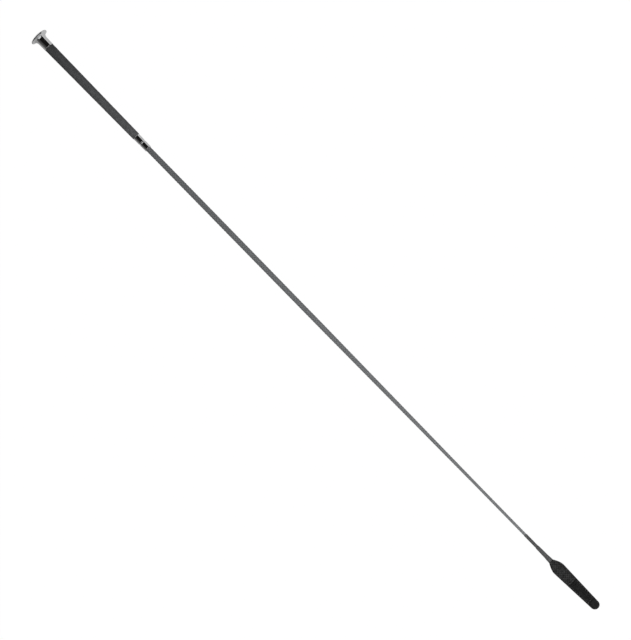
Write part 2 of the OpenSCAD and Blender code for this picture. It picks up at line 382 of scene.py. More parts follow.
    @staticmethod
    def joined(name: str, parts: Sequence[bpy.types.Object]) -> bpy.types.Object:
        """Joins several meshes into one piece.

        Args:
            name: The piece's name.
            parts: The meshes to join.

        Returns:
            The joined piece.
        """
        Bench.take(parts[0])
        for part in parts:
            part.select_set(True)
        bpy.ops.object.join()
        piece = bpy.context.active_object
        piece.name = piece.data.name = name
        return piece

    @staticmethod
    def mark(piece: bpy.types.Object, name: str, values: np.ndarray) -> None:
        """Writes one number per point of a mesh, for its finish to read.

        Args:
            piece: The piece to write on.
            name: The number's name.
            values: One number for each point.
        """
        layer = piece.data.attributes.new(name, "FLOAT", "POINT")
        layer.data.foreach_set("value", values.astype(np.float32))

    @staticmethod
    def flat_map(piece: bpy.types.Object, points: np.ndarray) -> None:
        """Maps a panel by its own flat x and y, in millimetres.

        Args:
            piece: The panel.
            points: Where its points lie on the flat cloth.
        """
        corner = np.empty(len(piece.data.loops), int)
        piece.data.loops.foreach_get("vertex_index", corner)
        layer = piece.data.uv_layers.active or piece.data.uv_layers.new(name="flat")
        layer.data.foreach_set("uv", points[corner, :2].astype(np.float32).ravel())


# ---- finishes ---------------------------------------------------------------


class Signal:
    """A socket that gives a number, so that Python arithmetic on it adds Math nodes."""

    def __init__(self, board: "Board", socket: bpy.types.NodeSocket) -> None:
        """Wraps a socket.

        Args:
            board: The board that the socket's node is on.
            socket: The output to wrap.
        """
        self.board = board
        self.socket = socket

    def _math(self, operation: str, first: object, second: object) -> "Signal":
        """One Math node on two numbers or sockets."""
        sockets = {0: first, 1: second}
        return self.board.node("ShaderNodeMath", {"operation": operation}, sockets)

    def __add__(self, other: object) -> "Signal":
        """self + other."""
        return self._math("ADD", self, other)

    def __radd__(self, other: object) -> "Signal":
        """other + self."""
        return self._math("ADD", other, self)

    def __sub__(self, other: object) -> "Signal":
        """self - other."""
        return self._math("SUBTRACT", self, other)

    def __rsub__(self, other: object) -> "Signal":
        """other - self."""
        return self._math("SUBTRACT", other, self)

    def __mul__(self, other: object) -> "Signal":
        """self * other."""
        return self._math("MULTIPLY", self, other)

    def __rmul__(self, other: object) -> "Signal":
        """other * self."""
        return self._math("MULTIPLY", other, self)

    def __truediv__(self, other: object) -> "Signal":
        """self / other."""
        return self._math("DIVIDE", self, other)

    def __pow__(self, other: object) -> "Signal":
        """self ** other."""
        return self._math("POWER", self, other)

    def held(self, low: float = 0, high: float = 1) -> "Signal":
        """The number kept between two limits."""
        return self._math("MINIMUM", self._math("MAXIMUM", self, low), high)

    def sharp(self, gain: float, cut: float, most: float = 1) -> "Signal":
        """The number times a gain and less a cut, kept from 0 to the most that it may be."""
        return (self * gain - cut).held(0, most)


class Board:
    """One material's nodes."""

    def __init__(self, name: str) -> None:
        """Starts an empty material for that finish.

        Args:
            name: The finish's name.
        """
        self.material = bpy.data.materials.new(f"{name}_finish")
        self.material.use_nodes = True
        self.tree = self.material.node_tree
        self.tree.nodes.clear()

    def node(self, kind: str, settings: Mapping[str, object] | None = None,
             sockets: Mapping[int | str, object] | None = None,
             out: int | str = 0) -> Signal:
        """Adds one node.

        Args:
            kind: The node's type.
            settings: Its own settings, set first.
            sockets: What each input holds: a value, or a Signal to link.
            out: The output to return.

        Returns:
            The chosen output.
        """
        made = self.tree.nodes.new(kind)
        for key, value in (settings or {}).items():
            setattr(made, key, value)
        for key, value in (sockets or {}).items():
            if isinstance(value, Signal):
                self.tree.links.new(value.socket, made.inputs[key])
            else:
                made.inputs[key].default_value = value
        return Signal(self, made.outputs[out] if made.outputs else None)

    def place(self) -> Signal:
        """The point's place in the frame, in metres."""
        return self.node("ShaderNodeTexCoord", out="Object")

    def flat(self) -> Signal:
        """The point's place on the piece's own map."""
        return self.node("ShaderNodeTexCoord", out="UV")

    def mark(self, name: str) -> Signal:
        """A number that the piece's mesh carries."""
        return self.node("ShaderNodeAttribute", {"attribute_name": name}, out="Fac")

    def scaled(self, point: Signal, scale: Stretch, turn: float = 0) -> Signal:
        """A place that is turned about Z and stretched."""
        sockets = {"Vector": point, "Scale": scale, "Rotation": (0, 0, turn)}
        return self.node("ShaderNodeMapping", None, sockets)

    def part(self, point: Signal, axis: str) -> Signal:
        """One coordinate of a place."""
        return self.node("ShaderNodeSeparateXYZ", None, {0: point}, out=axis)

    def noise(self, point: Signal, scale: float, detail: float = 3,
              roughness: float = 0.55) -> Signal:
        """Soft random variation from 0 to 1 about 0.5."""
        sockets = {"Vector": point, "Scale": scale, "Detail": detail, "Roughness": roughness}
        return self.node("ShaderNodeTexNoise", None, sockets)

    def run(self, place: Signal, start: float, end: float) -> Signal:
        """How far along the whip a place is, from 0 at a start to 1 at an end, in metres."""
        return ((self.part(place, "X") - start) / (end - start)).held()

    def blend(self, share: object, first: object, second: object) -> Signal:
        """A colour between two others.

        Args:
            share: How much of the second colour there is, from 0 to 1.
            first: One colour, or a Signal.
            second: The other one.

        Returns:
            The colour between them.
        """
        def colour(value: object) -> object:
            """A colour as a socket holds it, or the Signal that was given."""
            return (*value, 1) if isinstance(value, tuple) else value
        sockets = {0: share, 6: colour(first), 7: colour(second)}
        return self.node("ShaderNodeMix", {"data_type": "RGBA"}, sockets, out=2)

    def relief(self, height: Signal, depth_mm: float, strength: float = 1) -> Signal:
        """A bumpy normal from a height that goes from 0 to 1."""
        sockets = {"Height": height, "Distance": depth_mm * MM, "Strength": strength}
        return self.node("ShaderNodeBump", None, sockets)

    def surface(self, **sockets: object) -> bpy.types.Material:
        """Ends the material in one surface shader.

        Args:
            sockets: The shader's inputs, with spaces in their names written as underscores.

        Returns:
            The material.
        """
        named = {key.replace("_", " "): value for key, value in sockets.items()}
        shader = self.node("ShaderNodeBsdfPrincipled", None, named)
        self.node("ShaderNodeOutputMaterial", None, {"Surface": shader})
        return self.material


def shade(tint: Rgb, share: float) -> Rgb:
    """A colour made darker or paler by a share."""
    return tuple(share * part for part in tint)


@dataclass(frozen=True)
class Finish:
    """What every finish has: a name and a way on to a piece."""

    name: str

    def material(self) -> bpy.types.Material:
        """Makes the finish's material."""
        raise NotImplementedError

    def dress(self, *pieces: bpy.types.Object) -> None:
        """Puts the finish on pieces, made once for all of them.

        Args:
            pieces: The pieces to dress.
        """
        material = bpy.data.materials.get(f"{self.name}_finish") or self.material()
        for piece in pieces:
            if not piece.data.materials:
                piece.data.materials.append(material)
            for index in range(len(piece.data.materials)):
                piece.data.materials[index] = material


@dataclass(frozen=True)
class Metal(Finish):
    """A turned metal: mirror-bright plating, or plain steel.

    Args:
        tint: Its colour.
        polish: Its lowest roughness.
        haze: How much rougher its dull patches are.
        line_mm: How deep the turning lines are.
        patch_scale: How often its dull patches come.
        line_scale: How often its turning lines come, along it and round it.
        dull_share: How dark its dull patches are, as a share of its colour.
    """

    tint: Rgb
    polish: float
    haze: float
    line_mm: float
    patch_scale: float = 160
    line_scale: Stretch = (9000, 60, 60)
    dull_share: float = 0.86

    def material(self) -> bpy.types.Material:
        """Patchy polish, with fine lines round the piece.

        Returns:
            The material.
        """
        board = Board(self.name)
        place = board.place()
        patches = board.noise(place, self.patch_scale, detail=4)
        lines = board.noise(board.scaled(place, self.line_scale), scale=1, detail=2)
        dull = shade(self.tint, self.dull_share)
        patch_part, line_part = 0.7, 0.3
        return board.surface(
            Base_Color=board.blend(patches.sharp(gain=1.6, cut=0.3), self.tint, dull),
            Metallic=1.0,
            Roughness=self.polish + self.haze * (patches * patch_part + lines * line_part),
            Normal=board.relief(lines, self.line_mm, strength=0.5))


@dataclass(frozen=True)
class Rubber(Finish):
    """The grip's dull pebbled rubber, a little lighter towards the ferrule.

    Args:
        dark: Its colour at the cap.
        light: Its colour at the ferrule.
        start: Where the grip starts, in metres.
        end: Where it ends, in metres.
        early: How early it gets lighter. Below 1 is earlier than evenly.
        blotch_scale: How often its blotches come.
        grain_scale: How fine its grain is.
        pit_shade: Painted shade for the pits of the grain, laid on with the fine grain noise.
        depth_mm: How deep blotches and grain are together.
    """

    dark: Rgb
    light: Rgb
    start: float
    end: float
    early: float = 0.7
    blotch_scale: float = 300
    grain_scale: float = 1500
    pit_shade: Rgb = (0.02, 0.02, 0.021)
    depth_mm: float = 0.16

    def material(self) -> bpy.types.Material:
        """Blotches of a few millimetres over a fine grain.

        Returns:
            The material.
        """
        board = Board(self.name)
        place = board.place()
        run = board.run(place, self.start, self.end) ** self.early
        blotch = board.noise(place, self.blotch_scale, detail=3, roughness=0.6)
        grain = board.noise(place, self.grain_scale, detail=2, roughness=0.7)
        base = board.blend(run, self.dark, self.light)
        pale = board.blend(run, shade(self.dark, 1.8), shade(self.light, 1.6))
        skin = board.blend(blotch.sharp(gain=2.6, cut=0.8), base, pale)
        smoothest, spread = 0.52, 0.3
        # Painted shade: the fine grain blends up to halfway into the pit colour.
        return board.surface(
            Base_Color=board.blend(grain.sharp(gain=1.4, cut=0.35, most=0.5), skin, self.pit_shade),
            Roughness=smoothest + spread * grain,
            Normal=board.relief(blotch * 0.5 + grain * 0.5, self.depth_mm, strength=0.8),
            Specular_IOR_Level=0.2)


@dataclass(frozen=True)
class Braid(Finish):
    """Flat strands of nylon, darker at the butt than at the tip.

    Args:
        butt: Colour at the ferrule.
        tip: Colour at the whipping.
        start: Where the shaft leaves the ferrule, in metres.
        end: Where it goes under the whipping, in metres.
        fibre_scale: How fine the fibres are, across a strand and along it.
        mottle_scale: How often its mottling comes.
        shadow: Painted shade at the strands' edges, which random mottling also pulls the colour towards.
        depth_mm: How deep the fibres are.
    """

    butt: Rgb
    tip: Rgb
    start: float
    end: float
    fibre_scale: Stretch = (900, 16, 1)
    mottle_scale: float = 420
    shadow: Rgb = (0.018, 0.018, 0.019)
    depth_mm: float = 0.05

    def material(self) -> bpy.types.Material:
        """Fibres that run along each strand, with darker edges.

        Returns:
            The material.
        """
        board = Board(self.name)
        place, flat = board.place(), board.flat()
        fibres = board.noise(board.scaled(flat, self.fibre_scale), scale=1, roughness=0.6)
        across = board.part(flat, "Y") * 2 - 1
        edge = (across * across) ** 2
        base = board.blend(board.run(place, self.start, self.end), self.butt, self.tip)
        streaked = board.blend(fibres.sharp(gain=1.8, cut=0.4), shade(self.butt, 0.55), base)
        mottle = board.noise(place, self.mottle_scale, detail=2)
        # Painted shade darkens each strand's edges, and random mottling adds to it.
        edge_part, mottle_part, darkest = 0.45, 0.3, 0.6
        smoothest, spread = 0.34, 0.28
        return board.surface(
            Base_Color=board.blend((edge * edge_part + mottle * mottle_part).held(0, darkest),
                                   streaked, self.shadow),
            Roughness=smoothest + spread * fibres,
            Normal=board.relief(fibres, self.depth_mm, strength=0.7),
            Specular_IOR_Level=0.4)


@dataclass(frozen=True)
class Thread(Finish):
    """Waxed or bonded thread, twisted from fine plies.

    Args:
        tint: Its colour.
        gloss: Its lowest roughness.
        ply_scale: How fine its plies are, along the piece and round it.
        ply_slant: How far the plies slant, in radians.
        wax_scale: How often the wax on it gets thicker.
        depth_mm: How deep the plies are.
    """

    tint: Rgb
    gloss: float
    ply_scale: Stretch = (5200, 900, 900)
    ply_slant: float = 0.6
    wax_scale: float = 380
    depth_mm: float = 0.06

    def material(self) -> bpy.types.Material:
        """Fine slanting plies with a little wax on them.

        Returns:
            The material.
        """
        board = Board(self.name)
        place = board.place()
        plies = board.noise(board.scaled(place, self.ply_scale, self.ply_slant), 1, detail=2)
        wax = board.noise(place, self.wax_scale)
        pale, deep = shade(self.tint, 1.25), shade(self.tint, 0.5)
        ply_gain, wax_gain, cut, spread = 1.2, 0.8, 0.5, 0.25
        return board.surface(
            Base_Color=board.blend((plies * ply_gain + wax * wax_gain - cut).held(), deep, pale),
            Roughness=self.gloss + spread * wax,
            Normal=board.relief(plies, self.depth_mm, strength=0.6),
            Specular_IOR_Level=0.45)


@dataclass(frozen=True)
class Weave(Finish):
    """Woven or braided webbing, whose mesh carries its relief and which yarn is on top.

    Args:
        tint: Colour of the yarns' crowns.
        deep: Painted shade, the colour between the yarns and wherever the mesh's relief mark is low.
        turn: How far the yarns are turned on the panel, in radians.
        pitch: Width of a yarn.
        fine: How many fibres lie across a yarn's width.
        long: How many follow each other in the same length along it.
        worn_scale: How often paler, worn places come.
        pale_share: How pale they are, as a share of the crowns' colour.
        depth_mm: How deep the fibres are.
    """

    tint: Rgb
    deep: Rgb
    turn: float
    pitch: float
    fine: float = 7
    long: float = 0.8
    worn_scale: float = 230
    pale_share: float = 2.2
    depth_mm: float = 0.08

    def material(self) -> bpy.types.Material:
        """Fibres along whichever yarn is on top, with painted shade between the yarns.

        Returns:
            The material.
        """
        board = Board(self.name)
        flat, over = board.flat(), board.mark("over")
        fine, long = self.fine / self.pitch, self.long / self.pitch
        along, athwart = (
            board.noise(board.scaled(flat, scale, self.turn), scale=1, roughness=0.6)
            for scale in ((long, fine, 1), (fine, long, 1)))
        fibres = along * over + athwart * (1 - over)
        # Painted shade: the lower the mesh's relief mark, the nearer the colour comes to deep.
        crown = board.mark("relief")
        worn = board.noise(board.place(), self.worn_scale, detail=2)
        pale = shade(self.tint, self.pale_share)
        fibre_gain, worn_gain, cut = 1.2, 4.5, 2.4
        top = board.blend((fibres * fibre_gain + worn * worn_gain - cut).held(), self.tint, pale)
        crown_gain, smoothest, spread = 1.2, 0.62, 0.25
        return board.surface(
            Base_Color=board.blend((crown * crown_gain).held(), self.deep, top),
            Roughness=smoothest + spread * fibres,
            Normal=board.relief(fibres, self.depth_mm, strength=0.8),
            Specular_IOR_Level=0.3, Sheen_Weight=0.06, Sheen_Roughness=0.5)


@dataclass(frozen=True)
class Plain(Finish):
    """Plastic, wood or glass fibre of the pieces inside, with a grain along X.

    Args:
        tint: Its colour.
        grain: Its darker colour.
        stretch: How many times longer the grain is than it is wide.
        dull: Its lowest roughness.
        streak_scale: How often its streaks come.
        depth_mm: How deep the grain is.
    """

    tint: Rgb
    grain: Rgb
    stretch: float
    dull: float
    streak_scale: float = 120
    depth_mm: float = 0.05

    def material(self) -> bpy.types.Material:
        """Streaks along the piece and a soft grain.

        Returns:
            The material.
        """
        board = Board(self.name)
        place = board.place()
        along = board.scaled(place, (1, self.stretch, self.stretch))
        streaks = board.noise(along, self.streak_scale, detail=4)
        spread = 0.15
        return board.surface(
            Base_Color=board.blend(streaks.sharp(gain=2, cut=0.5), self.tint, self.grain),
            Roughness=self.dull + spread * streaks,
            Normal=board.relief(streaks, self.depth_mm, strength=0.5))


def grey(level: float, cool: float = 0.01) -> Rgb:
    """A grey from a 0 to 255 screen level, with that much more blue and less red.

    Args:
        level: How light it is on the screen.
        cool: How much blue is added and red is taken away.

    Returns:
        The colour as the shader takes it.
    """
    part = level / 255
    linear = part / 12.92 if part < 0.04045 else ((part + 0.055) / 1.055) ** 2.4
    return (linear * (1 - cool), linear, linear * (1 + cool))


FACE_PITCH, COVER_PITCH = 1.15, 3.0
BRAID_TURN = math.radians(45)

CHROME = Metal("polished_chrome", tint=(0.86, 0.865, 0.87), polish=0.035, haze=0.05,
               line_mm=0.004)
STEEL = Metal("plain_steel", tint=(0.55, 0.55, 0.56), polish=0.3, haze=0.15, line_mm=0.02)
WOOD = Plain("hardwood", tint=(0.62, 0.45, 0.27), grain=(0.4, 0.26, 0.13), stretch=8, dull=0.6)
PLASTIC = Plain("black_plastic", tint=(0.05, 0.05, 0.052), grain=(0.03, 0.03, 0.032),
                stretch=1, dull=0.5)
GLASS_FIBRE = Plain("glass_fibre", tint=(0.78, 0.76, 0.66), grain=(0.6, 0.58, 0.48),
                    stretch=20, dull=0.35)
BINDING = Thread("binding_thread", tint=grey(96), gloss=0.42)
STITCHING = Thread("sewing_thread", tint=grey(92), gloss=0.4)
# The deep colours of the two weaves are painted shade between the yarns.
FACE_WEAVE = Weave("popper_webbing", tint=grey(22), deep=grey(5), turn=0, pitch=FACE_PITCH)
COVER_WEAVE = Weave("popper_braid", tint=grey(38), deep=grey(8), turn=BRAID_TURN,
                    pitch=COVER_PITCH)


# ---- sub-assemblies ---------------------------------------------------------


def arc(middle: Station, radius: float, first: float, last: float, count: int) -> list[Station]:
    """Points of an arc in a half section.

    Args:
        middle: The arc's centre, as (distance along, radius from the whip's line).
        radius: The arc's radius.
        first: Its first angle, in degrees from +X towards greater radii.
        last: Its last angle.
        count: How many parts it has.

    Returns:
        The points in order.
    """
    angles = [math.radians(first + (last - first) * i / count) for i in range(count + 1)]
    return [(middle[0] + radius * math.cos(a), middle[1] + radius * math.sin(a)) for a in angles]


@dataclass
class SubAssembly:
    """Pieces that belong together on one line.

    Args:
        line: The line that they are laid down on.
    """

    line: Line

    def settle(self, piece: bpy.types.Object, finish: Finish, body: Body | None,
               *nodes: str) -> bpy.types.Object:
        """Lays a piece down, dresses it, hangs it on the body that it rides on and hides the frame's nodes that it
        stands for.

        Args:
            piece: The piece, still on the bench.
            finish: Its finish, which is named after its slot in the record.
            body: The body that it rides on, or None where it lies across the bend and rides on neither.
            nodes: The frame's nodes that it stands for.

        Returns:
            The same piece.
        """
        self.line.lay(piece)
        Bench.rest(piece)
        finish.dress(piece)
        if nodes:
            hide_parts(*nodes)
        if body:
            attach(piece, body.value)
        log.info("%s: %d faces", piece.name, len(piece.data.polygons))
        return piece


@dataclass
class Cap(SubAssembly):
    """The chromed mushroom cap: a domed crown and the flared collar under it."""

    rim_r: float = 13.25
    dome_h: float = 3.0
    rim_end: float = 5.0
    rim_round: float = 0.8
    crown_wall: float = 0.9
    flange_face: float = 3.6
    flange_r: float = 12.3
    flare_h: float = 6.4
    neck_r: float = 7.3
    grip_at: float = 23.8
    low_r: float = 7.05
    lip_r: float = 0.55
    lip_rise: float = 0.15
    socket_at: float = 6.2
    socket_r: float = 5.8
    stud_hole_r: float = 2.05
    around: int = 160

    def crown(self) -> bpy.types.Object:
        """The domed crown, hollow underneath, with a rolled rim.

        Returns:
            The crown.
        """
        dome_r = (self.rim_r ** 2 + self.dome_h ** 2) / (2 * self.dome_h)
        small = self.rim_round
        dome_parts, rim_parts, under_parts = 40, 8, 16
        edge = math.degrees(math.asin((self.rim_r - small) / (dome_r - small)))
        edge_x = dome_r - (dome_r - small) * math.cos(math.radians(edge))
        inner = dome_r - self.crown_wall
        inner_edge = math.degrees(math.asin((self.rim_r - self.crown_wall) / inner))
        stations = arc((dome_r, 0), dome_r, 180, 180 - edge, dome_parts)
        stations += arc((edge_x, self.rim_r - small), small, 180 - edge, 90, rim_parts)
        stations += arc((self.rim_end - small, self.rim_r - small), small, 90, 0, rim_parts)
        stations += [(self.rim_end, self.rim_r - self.crown_wall)]
        stations += arc((dome_r, 0), inner, 180 - inner_edge, 180, under_parts)
        return Bench.turned("cap_domed_crown", stations, self.around)

    def collar(self) -> bpy.types.Object:
        """The flange, trumpet flare, neck and lip, with a socket for the handle.

        Returns:
            The collar.
        """
        parts, lip_parts = 48, 10
        flare = [
            (self.rim_end + self.flare_h * (1 - math.cos(a)),
             self.flange_r - (self.flange_r - self.neck_r) * math.sin(a))
            for a in [math.pi / 2 * i / parts for i in range(parts + 1)]]
        lip = math.degrees(math.acos(1 - self.lip_rise / self.lip_r))
        stations = [(self.flange_face, self.stud_hole_r), (self.flange_face, self.flange_r)]
        stations += flare
        stations += arc((self.grip_at - self.lip_r, self.low_r + self.lip_rise - self.lip_r),
                        self.lip_r, 90 + lip, 90 - lip, lip_parts)
        stations += [(self.grip_at, self.low_r), (self.grip_at, self.socket_r),
                     (self.socket_at, self.socket_r), (self.socket_at, self.stud_hole_r),
                     (self.flange_face, self.stud_hole_r)]
        return Bench.turned("cap_flared_collar", stations, self.around)

    def build(self) -> None:
        """Makes the crown and the collar."""
        self.settle(self.crown(), CHROME, Body.ROD, "cap_crown")
        self.settle(self.collar(), CHROME, Body.ROD, "cap_collar")


@dataclass
class Handle(SubAssembly):
    """The tapered rubber grip and the chromed ferrule."""

    grip_at: float = 23.8
    ferrule_at: float = 193.8
    ferrule_end: float = 217.2
    grip_top_r: float = 6.8
    grip_low_r: float = 5.55
    grip_round: float = 0.4
    bore_top_r: float = 5.8
    bore_low_r: float = 4.55
    pebble_mm: float = 0.22
    grain_mm: float = 0.1
    pebble_size: float = 2.4
    grain_size: float = 0.9
    ferrule_top_r: float = 5.2
    ferrule_low_r: float = 4.85
    spigot_r: float = 4.35
    bead_w: float = 0.9
    bead_rise: float = 0.14
    groove_at: float = 11.8
    groove_w: float = 2.4
    groove_depth: float = 0.45
    lip_h: float = 1.5
    lip_r: float = 3.9
    grip_around: int = 88
    ferrule_around: int = 128

    def grip(self) -> bpy.types.Object:
        """The grip, with a pebbled surface in its mesh.

        Returns:
            The grip.
        """
        small, rows, corner_parts, middle_level = self.grip_round, 300, 4, 0.55
        length = self.ferrule_at - self.grip_at - 2 * small
        stations = [(self.grip_at, self.bore_top_r)]
        stations += arc((self.grip_at + small, self.grip_top_r - small), small, 180, 90,
                        corner_parts)
        stations += [
            (self.grip_at + small + length * i / rows,
             self.grip_top_r + (self.grip_low_r - self.grip_top_r) * i / rows)
            for i in range(1, rows)]
        stations += arc((self.ferrule_at - small, self.grip_low_r - small), small, 90, 0,
                        corner_parts)
        stations += [(self.ferrule_at, self.bore_low_r), (self.grip_at, self.bore_top_r)]
        piece = Bench.turned("grip_rubber", stations, self.grip_around)
        for name, size, depth in (("pebbles", self.pebble_size, self.pebble_mm),
                                  ("grain", self.grain_size, self.grain_mm)):
            pattern = bpy.data.textures.new(name, "CLOUDS")
            pattern.noise_scale = size * MM
            pattern.noise_depth = 1
            Bench.modifier(piece, "DISPLACE", texture=pattern, texture_coords="LOCAL",
                           strength=depth * MM, mid_level=middle_level)
        return piece

    def ferrule(self) -> bpy.types.Object:
        """The ferrule: a bead at each end, a groove, and a lip that closes round the shaft.

        Returns:
            The ferrule.
        """
        parts, inside = 12, 0.1
        length = self.ferrule_end - self.ferrule_at
        fall = (self.ferrule_low_r - self.ferrule_top_r) / length
        groove_r = self.ferrule_top_r + fall * self.groove_at
        half_turn = [math.pi * i / parts for i in range(parts + 1)]
        groove = (self.ferrule_at + self.groove_at - self.groove_w / 2,
                  self.ferrule_at + self.groove_at + self.groove_w / 2)

        def flat(start: float, end: float) -> list[Station]:
            """Both ends of a plain stretch, just inside them, so that it shades evenly."""
            return [(x, self.ferrule_top_r + fall * (x - self.ferrule_at))
                    for x in (start + inside, end - inside)]

        stations = [(self.ferrule_at, self.spigot_r), (self.ferrule_at, self.ferrule_top_r)]
        stations += [(self.ferrule_at + self.bead_w * i / parts,
                      self.ferrule_top_r + self.bead_rise * math.sin(a))
                     for i, a in enumerate(half_turn)]
        stations += flat(self.ferrule_at + self.bead_w, groove[0])
        stations += [(self.ferrule_at + self.groove_at + self.groove_w * (i / parts - 0.5),
                      groove_r - self.groove_depth * math.sin(a))
                     for i, a in enumerate(half_turn)]
        stations += flat(groove[1], self.ferrule_end - self.bead_w)
        stations += [(self.ferrule_end - self.bead_w * (1 - i / parts),
                      self.ferrule_low_r + self.bead_rise * math.sin(a))
                     for i, a in enumerate(half_turn)]
        lip_at = self.ferrule_end - self.lip_h
        stations += [(self.ferrule_end, self.lip_r), (lip_at, self.lip_r),
                     (lip_at, self.spigot_r), (self.ferrule_at, self.spigot_r)]
        return Bench.turned("ferrule_ring", stations, self.ferrule_around)

    def build(self) -> None:
        """Makes the grip and the ferrule."""
        start, end = self.line.point(self.grip_at).x, self.line.point(self.ferrule_at).x
        rubber = Rubber("grip_rubber", dark=grey(53, cool=0.04), light=grey(86, cool=0.03),
                        start=start, end=end)
        self.settle(self.grip(), rubber, Body.ROD, "grip_sleeve")
        self.settle(self.ferrule(), CHROME, Body.ROD, "ferrule")


@dataclass
class Shaft(SubAssembly):
    """The tapered shaft: twelve flat strands, braided over a dark underlay."""

    start: float = 216.0
    parallel_end: float = 367.2
    shoulder_at: float = 562.2
    neck_at: float = 863.3
    wrap_at: float = 957.3
    end: float = 1007.0
    butt_r: float = 3.85
    shoulder_r: float = 3.6
    neck_r: float = 2.075
    tip_r: float = 1.95
    lead: float = 27.6
    strands: int = 6
    fill: float = 0.9
    strand_t: float = 0.3
    wave: float = 0.17
    crown: float = 0.1
    proud: float = 0.1
    rows_a_lead: int = 44
    across: int = 4
    tucked: float = 2.0
    steepness: float = 1.4
    slack: float = 0.02
    around: int = 48

    def radius(self, x: np.ndarray | float) -> np.ndarray | float:
        """The shaft's outer radius at a distance from the top of the cap.

        Args:
            x: One distance or many.

        Returns:
            The radius at each of them.
        """
        places = (self.start, self.parallel_end, self.shoulder_at, self.neck_at, self.wrap_at)
        sizes = (self.butt_r, self.butt_r, self.shoulder_r, self.neck_r, self.tip_r)
        return np.interp(x, places, sizes)

    def strand(self, hand: Hand) -> bpy.types.Object:
        """One flat strand that winds over and under the strands of the other hand.

        Args:
            hand: Which way it winds.

        Returns:
            The strand, along the whole shaft.
        """
        way = hand.value
        run = self.wrap_at + self.tucked - self.start
        rows = round(run / self.lead * self.rows_a_lead)
        piece = Bench.grid(f"strand_{hand.name.lower()}", rows, self.across)
        flat = Bench.points(piece) * MM  # the grid's own places, from -1 to 1
        x = self.start + run * (flat[:, 0] + 1) / 2
        phase = TURN * (x - self.start) / self.lead
        radius = self.radius(x)
        slant = np.arctan(TURN * radius / self.lead)
        half = self.fill * self.lead / self.strands * np.sin(slant) / 2
        beside = flat[:, 1] * half
        angle = way * phase + beside * np.cos(slant) / radius
        x_there = x - way * beside * np.sin(slant)
        crossing = angle + way * TURN * (x_there - self.start) / self.lead
        wave = np.cos(self.strands / 2 * crossing)
        rise = np.tanh(self.steepness * wave) / math.tanh(self.steepness)
        height = (radius + self.proud - self.wave - self.strand_t / 2 + way * self.wave * rise
                  - self.crown * flat[:, 1] ** 2)
        Bench.move(piece, np.column_stack(
            (x_there, height * np.sin(angle), height * np.cos(angle))))
        Bench.modifier(piece, "SOLIDIFY", thickness=self.strand_t * MM, offset=0)
        Bench.close(piece)
        Bench.smooth(piece, degrees=50)
        return piece

    def strands_of(self, hand: Hand) -> bpy.types.Object:
        """All the strands of one hand, one modelled and the others copied round.

        Args:
            hand: Which way they wind.

        Returns:
            The six strands as one piece.
        """
        first = self.strand(hand)
        copies = [Bench.copy(first, Matrix.Rotation(TURN * i / self.strands, 4, "X"))
                  for i in range(1, self.strands)]
        return Bench.joined(f"shaft_strands_{hand.name.lower()}", [first, *copies])

    def underlay(self) -> bpy.types.Object:
        """The dark layer that shows between the strands.

        Returns:
            The underlay.
        """
        depth = 2 * (self.wave + self.strand_t / 2) + self.slack
        places = [self.start, self.parallel_end, self.shoulder_at, self.neck_at, self.wrap_at,
                  self.end]
        stations = [(self.start, 0), *((x, float(self.radius(x)) - depth) for x in places),
                    (self.end, 0)]
        return Bench.turned("shaft_underlay", stations, self.around)

    def build(self) -> None:
        """Makes the strands and what is under them."""
        start, end = self.line.point(self.start).x, self.line.point(self.wrap_at).x
        nylon = Braid("braided_nylon", butt=grey(119, cool=0.04), tip=grey(188, cool=0.03),
                      start=start, end=end)
        self.settle(self.underlay(), nylon, Body.ROD)
        self.settle(self.strands_of(Hand.RIGHT), nylon, Body.ROD, "shaft_braid")
        self.settle(self.strands_of(Hand.LEFT), nylon, Body.ROD)


